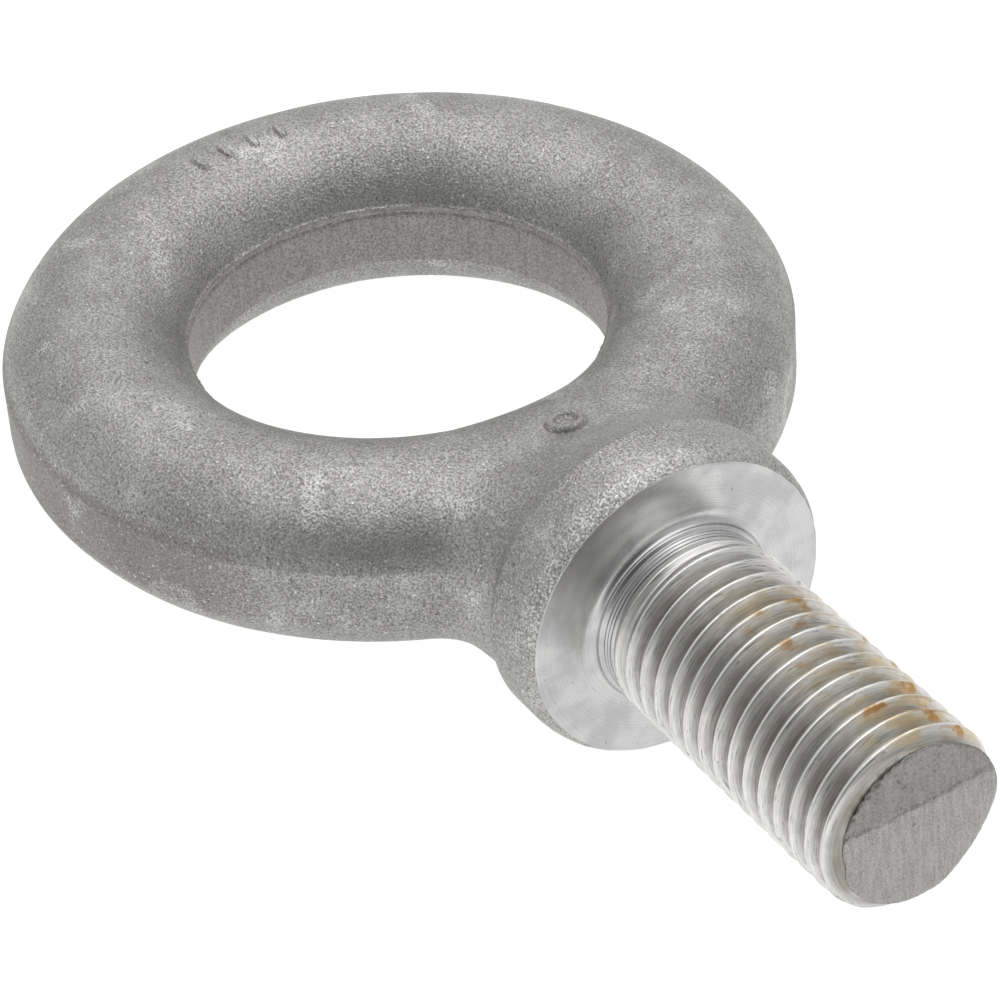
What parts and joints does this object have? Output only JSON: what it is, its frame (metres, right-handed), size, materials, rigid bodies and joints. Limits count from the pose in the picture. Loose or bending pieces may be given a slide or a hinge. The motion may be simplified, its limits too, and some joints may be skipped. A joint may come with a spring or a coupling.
{
  "type": "eye bolt",
  "caption": "Forged shoulder eye bolt for lifting: a round-section ring on a short neck, a machined seat and a coarse metric threaded shank.",
  "frame": {"origin": "centre of the eye", "axes": "+X along the thread towards its tip, +Z along the eye's axis, so the bolt lies flat as it would on a bench"},
  "size_m": [0.135, 0.0844, 0.035],
  "materials": {
    "forged_skin": "drop-forged carbon steel, shot blasted, matt warm grey",
    "turned_face": "bright turned steel with concentric tool marks",
    "cut_thread": "cut thread, bright crests, oily grey flanks and a little rust",
    "sheared_end": "sheared and blasted bar end, matt grey"
  },
  "bodies": {
    "root": {"eye_ring": "forged_skin", "neck": "forged_skin", "shoulder_collar": "forged_skin", "seat_face": "turned_face", "root_fillet_ring": "turned_face", "threaded_shank": "cut_thread", "shank_point": "sheared_end", "forge_marks": "forged_skin"}
  },
  "joints": []
}
